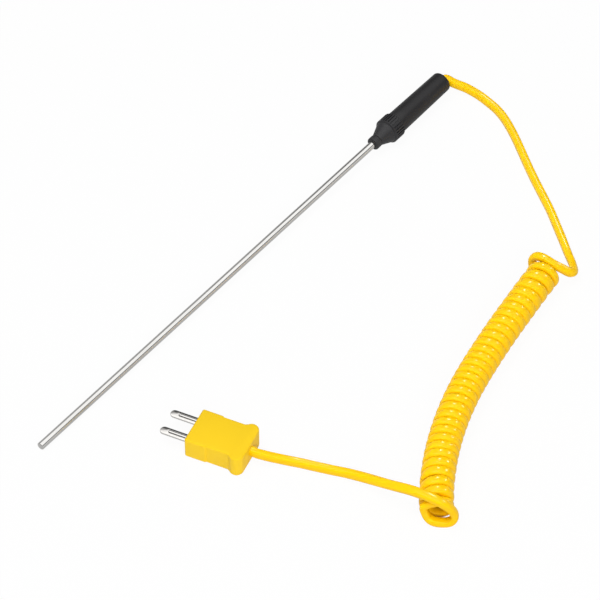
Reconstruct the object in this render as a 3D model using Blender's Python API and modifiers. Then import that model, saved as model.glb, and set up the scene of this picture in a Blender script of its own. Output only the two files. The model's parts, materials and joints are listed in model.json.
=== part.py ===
"""Thermocouple probe with a curly cord and a miniature flat-pin plug.

Units are metres and +Z is up. The probe lies along X, tip towards -X, on its tip and on its
ribbed collar. The origin is under the middle of the probe, on the surface that it lies on.
Lengths along the probe are measured from the tip, lengths along the plug from its front face.
"""

import math

import bmesh
import bpy
from mathutils import Vector

MM = 0.001

# Clearances
FIT_GAP = 0.3 * MM
FINE_GAP = 0.12 * MM

# Sheath
SHEATH_SHOWN = 178.3 * MM
SHEATH_HELD = 16.5 * MM
SHEATH_DIAMETER = 2.7 * MM
SHEATH_WALL = 0.25 * MM
TIP_WALL = 0.6 * MM
TIP_ROUNDING = 0.25 * MM

# Thermocouple inside the sheath
JUNCTION_DIAMETER = 1.2 * MM
LEG_DIAMETER = 0.35 * MM
LEG_SPACING = 0.84 * MM
SEAL_DEPTH = 3.0 * MM
SEAL_HEAD = 1.0 * MM
SEAL_HEAD_DIAMETER = 3.2 * MM

# Nose cap: ring, cone and ribbed collar in one moulding
NOSE_RING_LENGTH = 2.7 * MM
NOSE_RING_DIAMETER = 4.9 * MM
NOSE_RING_ROUNDING = 0.5 * MM
NECK_DIAMETER = 4.5 * MM
CONE_LENGTH = 5.2 * MM
CONE_BASE_DIAMETER = 8.6 * MM
COLLAR_LENGTH = 5.2 * MM
COLLAR_DIAMETER = 9.6 * MM
COLLAR_CHAMFER = 0.4 * MM
RIB_COUNT = 28
RIB_GROOVE_WIDTH = 0.5 * MM
RIB_GROOVE_DEPTH = 0.32 * MM
RIB_GROOVE_LENGTH = 4.5 * MM

# Handle body, tapered to the rear, with a spigot that enters the nose cap
HANDLE_LENGTH = 27.6 * MM
HANDLE_FRONT_DIAMETER = 8.3 * MM
HANDLE_DIAMETER = 7.7 * MM
HANDLE_BORE = 5.6 * MM
HANDLE_REAR_WALL = 2.5 * MM
HANDLE_REAR_ROUNDING = 0.7 * MM
SPIGOT_LENGTH = 3.9 * MM
SPIGOT_DIAMETER = 6.3 * MM
SPIGOT_BORE = 4.7 * MM

# Ferrule that holds the sheath in the handle
FERRULE_FLANGE = 0.8 * MM
FERRULE_SLEEVE = 4.5 * MM

# Splices between the thermocouple's legs and the cord's conductors
SPLICE_PLACE = 11.5 * MM
SPLICE_LENGTH = 5.0 * MM
SPLICE_DIAMETER = 1.4 * MM
SPLICE_SPACING = 2.4 * MM
SLEEVE_LENGTH = 8.0 * MM
SLEEVE_WALL = 0.25 * MM
LEAD_DIAMETER = 0.6 * MM
LEAD_SPACING = 1.2 * MM
LEAD_RUN = 3.0 * MM

# Cord
CORD_DIAMETER = 3.1 * MM
CORD_STEP = 3.5 * MM
CORD_STUB = 0.8 * MM
COIL_DIAMETER = 11.4 * MM
COIL_STEP = 4.0 * MM
CLAMP_LENGTH = 2.6 * MM
CLAMP_WALL = 0.6 * MM

# Plug
PLUG_LENGTH = 20.9 * MM
PLUG_WIDTH = 15.0 * MM
PLUG_HEIGHT = 8.4 * MM
PLUG_CORNER = 0.7 * MM
PLUG_EDGE = 0.6 * MM
PLUG_STEP_PLACE = 7.5 * MM
PLUG_STEP = 0.35 * MM
FLANGE_WIDTH = 17.0 * MM
FLANGE_ROUNDING = 2.5 * MM
FLANGE_BLEND = 0.4 * MM
FLANGE_SWEEP = math.radians(140)
WIRE_ROOM_START = 5.5 * MM
WIRE_ROOM_END = 15.2 * MM
WIRE_ROOM_WIDTH = 11.0 * MM
WIRE_ROOM_HEIGHT = 5.4 * MM

# Plug pins
PIN_PITCH = 7.94 * MM
PIN_LEVEL = 4.9 * MM
PIN_SHOWN = 10.4 * MM
PIN_HELD = 7.6 * MM
PIN_WIDTH = 3.0 * MM
PIN_THICKNESS = 0.7 * MM
PIN_RIB_RADIUS = 0.6 * MM
PIN_RIB_SINK = 0.05 * MM
PIN_RIB_START = 2.9 * MM
PIN_RIB_HELD = 3.5 * MM
PIN_TAIL_WELD = 1.2 * MM

# Where the plug lies: middle of its front face, and the way from its pins to its cord
PLUG_PLACE = (-74.57 * MM, -37.21 * MM)
PLUG_HEADING = math.radians(-75.3)

# Free runs of the cord, in millimetres, from the handle to the coil and from the plug to the coil
UPPER_ROUTE = [
    (109.95, 0.0, 5.4), (110.9, -0.02, 5.38), (111.65, -1.0, 5.1), (112.0, -2.8, 4.6),
    (112.9, -5.0, 3.95), (114.0, -7.3, 3.2), (114.6, -10.0, 2.6), (114.8, -13.4, 2.1),
    (114.4, -17.3, 1.8), (113.3, -22.3, 1.7), (111.0, -27.7, 1.7), (106.8, -34.7, 1.7),
    (102.2, -41.3, 1.7), (97.7, -47.6, 1.7), (93.3, -54.0, 1.7), (89.0, -60.6, 1.7),
    (84.8, -67.0, 1.7), (80.3, -73.1, 1.7), (75.8, -79.1, 1.7), (71.6, -84.5, 1.8),
    (67.8, -89.2, 2.6), (64.8, -91.8, 3.7), (62.3, -92.0, 5.0), (60.6, -89.9, 6.8),
    (58.9, -87.1, 8.7), (58.6, -83.6, 9.3), (58.3, -80.7, 8.9), (58.0, -79.1, 7.1),
    (57.6, -79.3, 4.9), (57.0, -80.4, 3.2), (56.4, -81.7, 2.4),
]
LOWER_ROUTE = [
    (-69.19, -57.72, 4.9), (-68.6, -59.7, 4.6), (-67.6, -61.3, 4.1), (-66.2, -63.4, 3.4),
    (-64.4, -65.9, 2.6), (-62.6, -68.8, 2.0), (-61.0, -71.7, 1.7), (-59.0, -76.5, 1.7),
    (-57.0, -81.2, 1.7), (-55.1, -86.0, 2.0), (-53.8, -91.3, 2.9), (-53.2, -97.1, 4.6),
    (-53.15, -103.2, 7.0), (-53.1, -107.4, 8.8), (-52.9, -111.2, 10.2), (-52.6, -114.6, 11.0),
    (-51.9, -119.2, 11.4), (-51.2, -122.7, 10.9), (-49.5, -125.2, 8.2), (-48.6, -126.5, 4.6),
    (-50.0, -125.5, 2.1), (-52.6, -121.9, 1.85), (-53.2, -119.0, 2.7), (-52.8, -117.1, 4.2),
    (-51.65, -115.95, 5.9),
]
COIL_ROUTE = [
    (54.9, -85.9), (46.8, -87.0), (36.4, -88.6), (26.3, -90.2), (16.1, -92.1), (6.1, -94.2),
    (-3.9, -96.7), (-13.7, -99.9), (-23.3, -103.8), (-32.5, -108.4), (-41.3, -113.7),
    (-45.3, -116.5), (-47.6, -118.2),
]

# Places along the probe that follow from the sizes above
CAP_REAR = SHEATH_SHOWN + NOSE_RING_LENGTH + CONE_LENGTH + COLLAR_LENGTH
COLLAR_FRONT = CAP_REAR - COLLAR_LENGTH
BODY_FRONT = CAP_REAR + FIT_GAP
BODY_REAR = BODY_FRONT + HANDLE_LENGTH
REAR_WALL_FACE = BODY_REAR - HANDLE_REAR_WALL
SPIGOT_FRONT = BODY_FRONT - SPIGOT_LENGTH
FLANGE_REAR = SPIGOT_FRONT - FIT_GAP
FLANGE_FRONT = FLANGE_REAR - FERRULE_FLANGE
SOCKET_BOTTOM = FLANGE_FRONT - FIT_GAP
FERRULE_REAR = FLANGE_REAR + FERRULE_SLEEVE
SHEATH_REAR = SHEATH_SHOWN + SHEATH_HELD
SHEATH_BORE = SHEATH_DIAMETER - 2 * SHEATH_WALL
SEAL_FRONT = SHEATH_REAR - SEAL_DEPTH
SEAL_REAR = SHEATH_REAR + FIT_GAP + SEAL_HEAD
JUNCTION_PLACE = TIP_WALL + FINE_GAP + JUNCTION_DIAMETER / 2
INSULATOR_FRONT = JUNCTION_PLACE + JUNCTION_DIAMETER / 2 + FIT_GAP
LEG_BORE = LEG_DIAMETER + 2 * FINE_GAP
SPLICE_FRONT = BODY_FRONT + SPLICE_PLACE
SPLICE_MIDDLE = SPLICE_FRONT + SPLICE_LENGTH / 2
SPLICE_REAR = SPLICE_FRONT + SPLICE_LENGTH
SPLICE_BORE = LEAD_DIAMETER + 2 * FINE_GAP
CORD_END = SPLICE_REAR + LEAD_RUN
CORD_HOLE = CORD_DIAMETER + 2 * FIT_GAP
CLAMP_DIAMETER = CORD_HOLE + 2 * CLAMP_WALL
SLOT_WIDTH = PIN_WIDTH + 2 * FINE_GAP
SLOT_HEIGHT = PIN_THICKNESS + 2 * FINE_GAP

# The probe rests on the rim of its tip and on the front rim of its collar
REST_RIM = COLLAR_FRONT + COLLAR_CHAMFER
TILT = math.atan((COLLAR_DIAMETER - SHEATH_DIAMETER) / 2 / REST_RIM)
TIP_LEVEL = SHEATH_DIAMETER / 2 * math.cos(TILT)
TIP_PLACE = -BODY_REAR * math.cos(TILT) / 2

# Steps of the round and curved shapes
FINE_STEPS = 16
SMALL_STEPS = 24
BODY_STEPS = 48
CORNER_STEPS = 4
FLANGE_STEPS = 8
SPREAD_STEPS = 6
CURVE_SAMPLES = 20
BEAD_RINGS = 10
EDGE_SEGMENTS = 3
WIRE_RESOLUTION = 2
COIL_RESOLUTION = 5
SHARP_ANGLE = math.radians(35)
EDGE_ANGLE = math.radians(60)
WELD_DISTANCE = 0.001 * MM


def clear_scene():
    for obj in list(bpy.data.objects):
        bpy.data.objects.remove(obj)


def new_collection(name, hidden=False):
    collection = bpy.data.collections.new(name)
    bpy.context.scene.collection.children.link(collection)
    collection.hide_render = hidden
    return collection


def new_material(name, colour, roughness, metallic=0.0):
    material = bpy.data.materials.new(name)
    material.use_nodes = True
    shader = material.node_tree.nodes["Principled BSDF"]
    shader.inputs["Base Color"].default_value = (*colour, 1.0)
    shader.inputs["Roughness"].default_value = roughness
    shader.inputs["Metallic"].default_value = metallic
    material.diffuse_color = (*colour, 1.0)
    return material


def new_object(name, data, collection, material=None, parent=None):
    obj = bpy.data.objects.new(name, data)
    collection.objects.link(obj)
    obj.parent = parent
    if material:
        data.materials.append(material)
    return obj


def shade_round(mesh):
    mesh.shade_smooth()
    mesh.set_sharp_from_angle(angle=SHARP_ANGLE)


def evaluated_mesh(obj):
    """The mesh that an object's curve or modifiers give, in its own space, with doubles merged."""
    graph = bpy.context.evaluated_depsgraph_get()
    mesh = bpy.data.meshes.new_from_object(obj.evaluated_get(graph))
    shape = bmesh.new()
    shape.from_mesh(mesh)
    bmesh.ops.remove_doubles(shape, verts=shape.verts, dist=WELD_DISTANCE)
    bmesh.ops.recalc_face_normals(shape, faces=shape.faces)
    shape.to_mesh(mesh)
    shape.free()
    return mesh


def turned(name, profile, steps, collection, material, parent):
    """A solid turned about the probe's axis. The profile lists (radius, place), rear to front outside."""
    mesh = bpy.data.meshes.new(name)
    closed = profile[0][0] > 0
    count = len(profile)
    edges = [(i, (i + 1) % count) for i in range(count if closed else count - 1)]
    mesh.from_pydata([(radius, 0, place) for radius, place in profile], edges, [])
    obj = new_object(name, mesh, collection, material, parent)
    obj.rotation_euler = (0, math.pi / 2, 0)
    screw = obj.modifiers.new("Turn", "SCREW")
    screw.axis = "Z"
    screw.angle = 2 * math.pi
    screw.steps = steps
    screw.render_steps = steps
    screw.use_merge_vertices = True
    screw.merge_threshold = WELD_DISTANCE
    screw.use_smooth_shade = True
    return obj


def rounded_corner(radius, place, size, towards_rear):
    """Arc points of a convex outer corner at (radius, place), in the order of a profile."""
    points = []
    for i in range(CORNER_STEPS + 1):
        angle = math.pi / 2 * i / CORNER_STEPS
        if towards_rear:
            points.append((radius - size + size * math.sin(angle), place - size + size * math.cos(angle)))
        else:
            points.append((radius - size + size * math.cos(angle), place + size - size * math.sin(angle)))
    return points


def tube(name, points, diameter, collection, material, parent=None, resolution=WIRE_RESOLUTION):
    curve = bpy.data.curves.new(name, "CURVE")
    curve.dimensions = "3D"
    curve.bevel_depth = diameter / 2
    curve.bevel_resolution = resolution
    curve.use_fill_caps = True
    spline = curve.splines.new("POLY")
    spline.points.add(len(points) - 1)
    for spot, point in zip(spline.points, points):
        spot.co = (*point, 1.0)
    return new_object(name, curve, collection, material, parent)


def smooth_curve(route, step):
    """Points about one step apart on a smooth curve through the route's own points."""
    ends = [route[0] * 2 - route[1]] + route + [route[-1] * 2 - route[-2]]
    fine = []
    for before, start, end, after in zip(ends, ends[1:], ends[2:], ends[3:]):
        for i in range(CURVE_SAMPLES):
            t = i / CURVE_SAMPLES
            fine.append(
                0.5 * (2 * start + (end - before) * t
                       + (2 * before - 5 * start + 4 * end - after) * t ** 2
                       + (3 * start - 3 * end + after - before) * t ** 3)
            )
    fine.append(route[-1])
    lengths = [0.0]
    for a, b in zip(fine, fine[1:]):
        lengths.append(lengths[-1] + (b - a).length)
    count = round(lengths[-1] / step)
    points = []
    index = 0
    for k in range(count + 1):
        wanted = lengths[-1] * k / count
        while index < len(fine) - 2 and lengths[index + 1] < wanted:
            index += 1
        share = (wanted - lengths[index]) / (lengths[index + 1] - lengths[index])
        points.append(fine[index].lerp(fine[index + 1], share))
    return points


def cord_points(route, step):
    """Points of a cord's run, with a short straight end where it meets the next piece."""
    places = [Vector(point) * MM for point in route]
    points = smooth_curve(places, step)
    first = (places[1] - places[0]).normalized() * CORD_STUB
    last = (places[-2] - places[-1]).normalized() * CORD_STUB
    return [points[0], points[0] + first] + points[1:-1] + [points[-1] + last, points[-1]]


def flat_solid(name, outline, thickness, collection, material, parent):
    """A plate of the given outline, half its thickness above and half below its own origin."""
    curve = bpy.data.curves.new(name, "CURVE")
    curve.dimensions = "2D"
    curve.fill_mode = "BOTH"
    curve.extrude = thickness / 2
    spline = curve.splines.new("POLY")
    spline.points.add(len(outline) - 1)
    spline.use_cyclic_u = True
    for spot, (x, y) in zip(spline.points, outline):
        spot.co = (x, y, 0, 1)
    flat = new_object(name + "_outline", curve, collection, None, parent)
    solid = new_object(name, evaluated_mesh(flat), collection, None, parent)
    solid.data.materials.append(material)
    bpy.data.objects.remove(flat)
    return solid


def cut(obj, cutter, name):
    boolean = obj.modifiers.new(name, "BOOLEAN")
    boolean.operation = "DIFFERENCE"
    boolean.object = cutter
    return boolean


def add_box(shape, low, high):
    """Adds one box between two corners to a bmesh."""
    made = bmesh.ops.create_cube(shape, size=1.0)["verts"]
    low = Vector(low)
    high = Vector(high)
    bmesh.ops.scale(shape, vec=high - low, verts=made)
    bmesh.ops.translate(shape, vec=(low + high) / 2, verts=made)
    return made


def add_cylinder(shape, start, length, diameter, steps):
    """Adds one cylinder along +X from a start point to a bmesh."""
    made = bmesh.ops.create_cone(
        shape, cap_ends=True, segments=steps, radius1=diameter / 2, radius2=diameter / 2, depth=length
    )["verts"]
    for vert in made:
        x, y, z = vert.co
        vert.co = (z + length / 2 + start[0], y + start[1], -x + start[2])
    return made


def as_cutter(obj):
    obj.hide_render = True
    obj.display_type = "WIRE"
    return obj


def cutter_object(name, build, collection, parent):
    mesh = bpy.data.meshes.new(name)
    shape = bmesh.new()
    build(shape)
    shape.to_mesh(mesh)
    shape.free()
    return as_cutter(new_object(name, mesh, collection, None, parent))


def make_sheath(parts, cutters, axis, steel, ceramic, resin):
    outer = SHEATH_DIAMETER / 2
    inner = SHEATH_BORE / 2
    profile = [(outer, SHEATH_REAR)]
    profile += rounded_corner(outer, 0, TIP_ROUNDING, False)
    profile += [(0, 0)]
    profile = [(0, TIP_WALL), (inner, TIP_WALL), (inner, SHEATH_REAR)] + profile
    turned("sheath_tube", profile, SMALL_STEPS, parts, steel, axis)

    def leg_bores(shape):
        for side in (-1, 1):
            start = (0, side * LEG_SPACING / 2, 0)
            add_cylinder(shape, start, SEAL_REAR + FIT_GAP, LEG_BORE, FINE_STEPS)

    bores = cutter_object("leg_bores", leg_bores, cutters, axis)
    filler = SHEATH_BORE / 2 - FINE_GAP
    insulator_rear = SEAL_FRONT - FIT_GAP
    profile = [(0, insulator_rear), (filler, insulator_rear), (filler, INSULATOR_FRONT), (0, INSULATOR_FRONT)]
    insulator = turned("sheath_insulator", profile, SMALL_STEPS, parts, ceramic, axis)
    cut(insulator, bores, "Bores")
    head = SHEATH_REAR + FIT_GAP
    profile = [
        (0, SEAL_REAR), (SEAL_HEAD_DIAMETER / 2, SEAL_REAR), (SEAL_HEAD_DIAMETER / 2, head),
        (filler, head), (filler, SEAL_FRONT), (0, SEAL_FRONT),
    ]
    seal = turned("sheath_seal", profile, SMALL_STEPS, parts, resin, axis)
    cut(seal, bores, "Bores")


def make_junction(parts, axis, steel, chromel, alumel):
    mesh = bpy.data.meshes.new("hot_junction")
    shape = bmesh.new()
    bmesh.ops.create_uvsphere(
        shape, u_segments=FINE_STEPS, v_segments=BEAD_RINGS, radius=JUNCTION_DIAMETER / 2
    )
    shape.to_mesh(mesh)
    shape.free()
    shade_round(mesh)
    bead = new_object("hot_junction", mesh, parts, steel, axis)
    bead.location = (JUNCTION_PLACE, 0, 0)
    start = JUNCTION_PLACE + JUNCTION_DIAMETER / 2 + FINE_GAP
    end = SPLICE_MIDDLE - FIT_GAP / 2
    spread_start = SEAL_REAR + FIT_GAP
    spread_end = SPLICE_FRONT - FIT_GAP
    for name, side, metal in (("positive_leg", 1, chromel), ("negative_leg", -1, alumel)):
        near = side * LEG_SPACING / 2
        far = side * SPLICE_SPACING / 2
        points = [Vector((start, near, 0))]
        for i in range(SPREAD_STEPS + 1):
            share = i / SPREAD_STEPS
            ease = share * share * (3 - 2 * share)
            place = spread_start + (spread_end - spread_start) * share
            points.append(Vector((place, near + (far - near) * ease, 0)))
        points.append(Vector((end, far, 0)))
        tube(name, points, LEG_DIAMETER, parts, metal, axis)


def make_nose_cap(parts, cutters, axis, plastic):
    ring = NOSE_RING_DIAMETER / 2
    ring_rear = SHEATH_SHOWN + NOSE_RING_LENGTH
    collar = COLLAR_DIAMETER / 2
    bore = SHEATH_DIAMETER / 2 + FIT_GAP
    socket = SPIGOT_DIAMETER / 2 + FIT_GAP
    profile = [(collar - COLLAR_CHAMFER, CAP_REAR), (collar, CAP_REAR - COLLAR_CHAMFER)]
    profile += [(collar, COLLAR_FRONT + COLLAR_CHAMFER), (collar - COLLAR_CHAMFER, COLLAR_FRONT)]
    profile += [(CONE_BASE_DIAMETER / 2, COLLAR_FRONT), (NECK_DIAMETER / 2, ring_rear)]
    profile += rounded_corner(ring, ring_rear, NOSE_RING_ROUNDING, True)[1:]
    profile += rounded_corner(ring, SHEATH_SHOWN, NOSE_RING_ROUNDING, False)
    profile += [(bore, SHEATH_SHOWN), (bore, SOCKET_BOTTOM), (socket, SOCKET_BOTTOM), (socket, CAP_REAR)]
    cap = turned("nose_cap", profile, BODY_STEPS, parts, plastic, axis)

    def grooves(shape):
        start = COLLAR_FRONT + COLLAR_LENGTH - RIB_GROOVE_LENGTH
        for i in range(RIB_COUNT):
            made = add_box(
                shape,
                (start, -RIB_GROOVE_WIDTH / 2, collar - RIB_GROOVE_DEPTH),
                (CAP_REAR + FIT_GAP, RIB_GROOVE_WIDTH / 2, collar + RIB_GROOVE_DEPTH),
            )
            turn = 2 * math.pi * i / RIB_COUNT
            for vert in made:
                x, y, z = vert.co
                vert.co = (
                    x,
                    y * math.cos(turn) - z * math.sin(turn),
                    y * math.sin(turn) + z * math.cos(turn),
                )

    cut(cap, cutter_object("rib_grooves", grooves, cutters, axis), "Ribs")


def make_handle(parts, axis, plastic, brass):
    outer = HANDLE_DIAMETER / 2
    spigot = SPIGOT_DIAMETER / 2
    spigot_bore = SPIGOT_BORE / 2
    bore = HANDLE_BORE / 2
    hole = CORD_HOLE / 2
    bore_front = FERRULE_REAR + FIT_GAP
    profile = [(hole, BODY_REAR)]
    profile += rounded_corner(outer, BODY_REAR, HANDLE_REAR_ROUNDING, True)
    profile += [(HANDLE_FRONT_DIAMETER / 2, BODY_FRONT), (spigot, BODY_FRONT), (spigot, SPIGOT_FRONT)]
    profile += [(spigot_bore, SPIGOT_FRONT), (spigot_bore, bore_front), (bore, bore_front)]
    profile += [(bore, REAR_WALL_FACE), (hole, REAR_WALL_FACE)]
    turned("handle_body", profile, BODY_STEPS, parts, plastic, axis)
    held = SHEATH_DIAMETER / 2 + FINE_GAP
    sleeve = spigot_bore - FIT_GAP
    profile = [
        (sleeve, FERRULE_REAR), (sleeve, FLANGE_REAR), (spigot, FLANGE_REAR),
        (spigot, FLANGE_FRONT), (held, FLANGE_FRONT), (held, FERRULE_REAR),
    ]
    turned("sheath_ferrule", profile, SMALL_STEPS, parts, brass, axis)


def ring_profile(inner, outer, front, rear):
    return [(outer, rear), (outer, front), (inner, front), (inner, rear)]


def make_splices(parts, axis, brass, sleeve_plastic, chromel, alumel):
    inner = SPLICE_BORE / 2
    outer = SPLICE_DIAMETER / 2
    sleeve_inner = outer + FINE_GAP
    sleeve_front = SPLICE_MIDDLE - SLEEVE_LENGTH / 2
    sleeve_rear = SPLICE_MIDDLE + SLEEVE_LENGTH / 2
    for name, side, metal in (("positive", 1, chromel), ("negative", -1, alumel)):
        offset = side * SPLICE_SPACING / 2
        profile = ring_profile(inner, outer, SPLICE_FRONT, SPLICE_REAR)
        splice = turned(name + "_splice", profile, FINE_STEPS, parts, brass, axis)
        splice.location = (0, offset, 0)
        profile = ring_profile(sleeve_inner, sleeve_inner + SLEEVE_WALL, sleeve_front, sleeve_rear)
        sleeve = turned(name + "_sleeve", profile, FINE_STEPS, parts, sleeve_plastic, axis)
        sleeve.location = (0, offset, 0)
        points = [
            Vector((SPLICE_MIDDLE + FIT_GAP / 2, offset, 0)),
            Vector((SPLICE_REAR, offset, 0)),
            Vector((sleeve_rear, side * (SPLICE_SPACING + LEAD_SPACING) / 4, 0)),
            Vector((CORD_END - FIT_GAP, side * LEAD_SPACING / 2, 0)),
        ]
        tube(name + "_lead", points, LEAD_DIAMETER, parts, metal, axis)


def make_clamp(name, front, collection, material, parent, level=0.0):
    profile = ring_profile(CORD_HOLE / 2, CLAMP_DIAMETER / 2, front, front + CLAMP_LENGTH)
    clamp = turned(name, profile, SMALL_STEPS, collection, material, parent)
    clamp.location = (0, 0, level)
    return clamp


def make_cord(parts, axis, jacket, steel):
    tube(
        "cord_inner_end", [Vector((CORD_END, 0, 0)), Vector((BODY_REAR, 0, 0))],
        CORD_DIAMETER, parts, jacket, axis,
    )
    make_clamp("cord_clamp_ring", REAR_WALL_FACE - FIT_GAP - CLAMP_LENGTH, parts, steel, axis)
    upper = cord_points(UPPER_ROUTE, CORD_STEP)
    lower = cord_points(LOWER_ROUTE, CORD_STEP)
    coil = smooth_curve([Vector((*point, 0)) * MM for point in COIL_ROUTE], COIL_STEP)
    for point in coil:
        point.z = COIL_DIAMETER / 2
    tube("upper_cord", upper, CORD_DIAMETER, parts, jacket)
    tube("lower_cord", lower, CORD_DIAMETER, parts, jacket)
    tube("cord_coil", coil, COIL_DIAMETER, parts, jacket, resolution=COIL_RESOLUTION)


def plug_outline():
    """The plug seen from above, one side from front to rear and then the other side back."""
    half = PLUG_WIDTH / 2
    waist = half - PLUG_STEP
    bulge = (PLUG_LENGTH - FLANGE_ROUNDING, FLANGE_WIDTH / 2 - FLANGE_ROUNDING)
    side = []
    for i in range(CORNER_STEPS + 1):
        angle = math.pi / 2 * i / CORNER_STEPS
        x = PLUG_CORNER * (1 - math.cos(angle))
        side.append((x, half - PLUG_CORNER * (1 - math.sin(angle))))
    side += [(PLUG_STEP_PLACE, half), (PLUG_STEP_PLACE + PLUG_STEP, waist)]
    side.append((bulge[0] - FLANGE_ROUNDING - FLANGE_BLEND, waist))
    for i in range(FLANGE_STEPS + 1):
        angle = FLANGE_SWEEP * (1 - i / FLANGE_STEPS)
        x = bulge[0] + FLANGE_ROUNDING * math.cos(angle)
        side.append((x, bulge[1] + FLANGE_ROUNDING * math.sin(angle)))
    return side + [(x, -y) for x, y in reversed(side)]


def make_plug(parts, cutters, place, plastic):
    body = flat_solid("plug_body", plug_outline(), PLUG_HEIGHT, parts, plastic, place)
    body.location = (0, 0, PLUG_HEIGHT / 2)
    bevel = body.modifiers.new("Edges", "BEVEL")
    bevel.width = PLUG_EDGE
    bevel.segments = EDGE_SEGMENTS
    bevel.limit_method = "ANGLE"
    bevel.angle_limit = EDGE_ANGLE

    def hollows(shape):
        add_box(
            shape,
            (WIRE_ROOM_START, -WIRE_ROOM_WIDTH / 2, PIN_LEVEL - WIRE_ROOM_HEIGHT / 2),
            (WIRE_ROOM_END, WIRE_ROOM_WIDTH / 2, PIN_LEVEL + WIRE_ROOM_HEIGHT / 2),
        )

    def bore(shape):
        length = PLUG_LENGTH - WIRE_ROOM_END + 2 * FIT_GAP
        add_cylinder(shape, (WIRE_ROOM_END - FIT_GAP, 0, PIN_LEVEL), length, CORD_HOLE, SMALL_STEPS)

    def slots(shape):
        for side in (-1, 1):
            y = side * PIN_PITCH / 2
            add_box(
                shape,
                (-FIT_GAP, y - SLOT_WIDTH / 2, PIN_LEVEL - SLOT_HEIGHT / 2),
                (WIRE_ROOM_START + FIT_GAP, y + SLOT_WIDTH / 2, PIN_LEVEL + SLOT_HEIGHT / 2),
            )

    def rib_slots(shape):
        width = PIN_RIB_RADIUS + FINE_GAP
        for side in (-1, 1):
            y = side * PIN_PITCH / 2
            top = PIN_LEVEL + PIN_THICKNESS / 2 - PIN_RIB_SINK + PIN_RIB_RADIUS + FINE_GAP
            add_box(shape, (-FIT_GAP, y - width, PIN_LEVEL), (PIN_RIB_HELD + FIT_GAP, y + width, top))

    for name, build in (
        ("wire_room", hollows), ("cord_bore", bore), ("pin_slots", slots), ("rib_slots", rib_slots),
    ):
        cut(body, cutter_object(name, build, cutters, place), name)
    return body


def pin_outline():
    """The blade seen from above: square where the plug holds it, round at its free end."""
    points = [(PIN_HELD, -PIN_WIDTH / 2), (PIN_HELD, PIN_WIDTH / 2)]
    centre = -PIN_SHOWN + PIN_WIDTH / 2
    for i in range(FLANGE_STEPS + 1):
        angle = math.pi / 2 + math.pi * i / FLANGE_STEPS
        points.append((centre + PIN_WIDTH / 2 * math.cos(angle), PIN_WIDTH / 2 * math.sin(angle)))
    return points


def make_pin(name, side, parts, cutters, place, metal):
    pin = flat_solid(name, pin_outline(), PIN_THICKNESS, parts, metal, place)
    pin.location = (0, side * PIN_PITCH / 2, PIN_LEVEL)
    profile = [(0, PIN_RIB_HELD), (PIN_RIB_RADIUS, PIN_RIB_HELD)]
    profile += rounded_corner(PIN_RIB_RADIUS, PIN_RIB_START - PIN_SHOWN, PIN_RIB_RADIUS, False)
    rib = as_cutter(turned(name + "_rib", profile, FINE_STEPS, cutters, None, pin))
    rib.location = (0, 0, PIN_THICKNESS / 2 - PIN_RIB_SINK)
    union = pin.modifiers.new("Rib", "BOOLEAN")
    union.operation = "UNION"
    union.object = rib


def make_plug_wiring(parts, place, jacket, steel, chromel, alumel):
    clamp_front = WIRE_ROOM_END - FIT_GAP - CLAMP_LENGTH
    cord_start = clamp_front - CLAMP_WALL * 2
    tube(
        "plug_cord_end", [Vector((cord_start, 0, PIN_LEVEL)), Vector((PLUG_LENGTH, 0, PIN_LEVEL))],
        CORD_DIAMETER, parts, jacket, place,
    )
    make_clamp("plug_clamp_ring", clamp_front, parts, steel, place, PIN_LEVEL)
    rest = PIN_LEVEL + PIN_THICKNESS / 2 + FINE_GAP + LEAD_DIAMETER / 2
    for name, side, metal in (("plug_positive_wire", 1, chromel), ("plug_negative_wire", -1, alumel)):
        tail = side * PIN_PITCH / 2
        near = side * LEAD_SPACING / 2
        run = cord_start - FIT_GAP
        points = [
            Vector((run, near, PIN_LEVEL)),
            Vector((run - LEAD_DIAMETER, near, PIN_LEVEL)),
            Vector((PIN_HELD + PIN_TAIL_WELD / 2, tail, rest)),
            Vector((PIN_HELD - PIN_TAIL_WELD, tail, rest)),
        ]
        tube(name, points, LEAD_DIAMETER, parts, metal, place)


def main():
    clear_scene()
    parts = new_collection("thermocouple_probe")
    cutters = new_collection("cutters", hidden=True)
    steel = new_material("polished_stainless", (0.72, 0.71, 0.69), 0.18, 1.0)
    black = new_material("black_plastic", (0.025, 0.024, 0.027), 0.42)
    yellow = new_material("yellow_jacket", (0.95, 0.62, 0.01), 0.28)
    plug_yellow = new_material("yellow_moulding", (0.98, 0.68, 0.05), 0.45)
    nickel = new_material("bright_nickel", (0.78, 0.76, 0.73), 0.15, 1.0)
    brass = new_material("brass", (0.75, 0.55, 0.25), 0.3, 1.0)
    ceramic = new_material("white_ceramic", (0.85, 0.84, 0.8), 0.7)
    resin = new_material("sealing_resin", (0.3, 0.12, 0.05), 0.5)
    chromel = new_material("positive_alloy", (0.62, 0.6, 0.55), 0.3, 1.0)
    alumel = new_material("negative_alloy", (0.5, 0.48, 0.46), 0.35, 1.0)
    shrink = new_material("shrink_sleeve", (0.6, 0.02, 0.02), 0.5)

    axis = bpy.data.objects.new("probe_axis", None)
    parts.objects.link(axis)
    axis.location = (TIP_PLACE, 0, TIP_LEVEL)
    axis.rotation_euler = (0, -TILT, 0)
    place = bpy.data.objects.new("plug_place", None)
    parts.objects.link(place)
    place.location = (*PLUG_PLACE, 0)
    place.rotation_euler = (0, 0, PLUG_HEADING)
    bpy.context.view_layer.update()

    make_sheath(parts, cutters, axis, steel, ceramic, resin)
    make_junction(parts, axis, steel, chromel, alumel)
    make_nose_cap(parts, cutters, axis, black)
    make_handle(parts, axis, black, brass)
    make_splices(parts, axis, brass, shrink, chromel, alumel)
    make_cord(parts, axis, yellow, steel)
    make_plug(parts, cutters, place, plug_yellow)
    make_pin("positive_pin", 1, parts, cutters, place, nickel)
    make_pin("negative_pin", -1, parts, cutters, place, nickel)
    make_plug_wiring(parts, place, yellow, steel, chromel, alumel)


main()
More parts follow.
